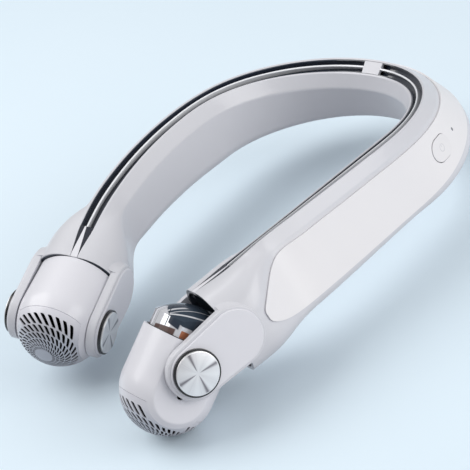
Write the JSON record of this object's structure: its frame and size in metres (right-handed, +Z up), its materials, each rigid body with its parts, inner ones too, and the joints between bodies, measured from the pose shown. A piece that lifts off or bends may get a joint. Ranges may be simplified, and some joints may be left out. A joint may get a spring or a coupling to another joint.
{
  "type": "electric neck fan",
  "caption": "U-shaped wearable fan: white band with a slotted air outlet along its crest and, at each arm's end, a round intake pod that tilts on a hinge.",
  "frame": {"origin": "middle of the neck opening's round rear half, at the height of the crest at the arms' ends", "axes": "+X towards the wearer's right-hand arm of the band as seen from above with the pods in front, +Y back to the nape, +Z up"},
  "size_m": [0.1616, 0.2753, 0.0695],
  "materials": {
    "white_shell": "satin gloss white moulding",
    "white_panel": "satin white cover",
    "white_plate": "gloss white raised plate",
    "white_pod": "satin gloss white moulding",
    "outlet_black": "gloss blue-black",
    "bright_rib": "bright thin rib",
    "dark_liner": "gloss black",
    "black_ring": "gloss black",
    "spun_metal": "radially spun",
    "gloss_drum": "mirror-bright plating",
    "steel": "plain",
    "motor_can": "plain can",
    "cell_wrap": "shrink wrap",
    "board_green": "solder mask",
    "light_pipe": "clear light pipe, unlit"
  },
  "bodies": {
    "band": {"button_switch": "black_ring", "charge_light": "light_pipe", "circuit_board": "board_green", "duct_floor": "dark_liner", "inner_shell": "white_shell", "left_cell": "cell_wrap", "left_crest_tongue": "white_shell", "left_inner_ear_plate": "white_plate", "left_inner_hinge_cap": "spun_metal", "left_inner_hinge_ring": "black_ring", "left_mouth_liner": "dark_liner", "left_outer_ear_plate": "white_plate", "left_outer_hinge_cap": "spun_metal", "left_outer_hinge_ring": "black_ring", "left_outlet_channel": "outlet_black", "left_outlet_rib": "bright_rib", "outer_panel": "white_panel", "outer_shell": "white_shell", "rear_bridge": "white_shell", "right_cell": "cell_wrap", "right_crest_tongue": "white_shell", "right_inner_ear_plate": "white_plate", "right_inner_hinge_cap": "spun_metal", "right_inner_hinge_ring": "black_ring", "right_mouth_liner": "dark_liner", "right_outer_ear_plate": "white_plate", "right_outer_hinge_cap": "spun_metal", "right_outer_hinge_ring": "black_ring", "right_outlet_channel": "outlet_black", "right_outlet_rib": "bright_rib", "usb_c_socket": "steel"},
    "left_drum": {"left_outlet_drum": "gloss_drum", "left_hinge_pins": "steel"},
    "left_pod": {"left_pod_sleeve": "white_pod", "left_intake_grille": "white_pod", "left_motor": "motor_can"},
    "left_rotor": {"left_impeller": "black_ring", "left_motor_shaft": "steel"},
    "right_drum": {"right_outlet_drum": "gloss_drum", "right_hinge_pins": "steel"},
    "right_pod": {"right_pod_sleeve": "white_pod", "right_intake_grille": "white_pod", "right_motor": "motor_can"},
    "right_rotor": {"right_impeller": "black_ring", "right_motor_shaft": "steel"},
    "button": {"power_button": "white_panel"}
  },
  "joints": [
    {"name": "left_tilt", "type": "hinge", "parent": "band", "child": "left_drum", "pos_m": [-0.04164, -0.14262, -0.02652], "axis": [0.8979, 0.3436, -0.2751], "range_deg": [0, 29]},
    {"name": "left_pod_slide", "type": "slide", "parent": "left_drum", "child": "left_pod", "axis": [0.3021, -0.9357, -0.1824], "range_m": [0, 0.013]},
    {"name": "left_rotor_spin", "type": "hinge", "parent": "left_pod", "child": "left_rotor", "pos_m": [-0.04164, -0.14262, -0.02652], "axis": [0.3021, -0.9357, -0.1824], "continuous": true},
    {"name": "right_tilt", "type": "hinge", "parent": "band", "child": "right_drum", "pos_m": [0.04164, -0.14262, -0.02652], "axis": [0.8979, -0.3436, 0.2751], "range_deg": [-29, 0]},
    {"name": "right_pod_slide", "type": "slide", "parent": "right_drum", "child": "right_pod", "axis": [-0.1091, -0.7793, -0.6171], "range_m": [-0.013, 0]},
    {"name": "right_rotor_spin", "type": "hinge", "parent": "right_pod", "child": "right_rotor", "pos_m": [0.04022, -0.15275, -0.03454], "axis": [-0.1091, -0.7793, -0.6171], "continuous": true},
    {"name": "power_press", "type": "slide", "parent": "band", "child": "button", "axis": [-0.8865, -0.3396, -0.3144], "range_m": [0, 0.0006], "stiffness_N_per_m": 900, "springref_m": -0.0003}
  ],
  "couplings": [
    {"joint": "left_pod_slide", "follows": "left_tilt", "m_per_rad": 0.025684},
    {"joint": "right_pod_slide", "follows": "right_tilt", "m_per_rad": 0.025684}
  ]
}
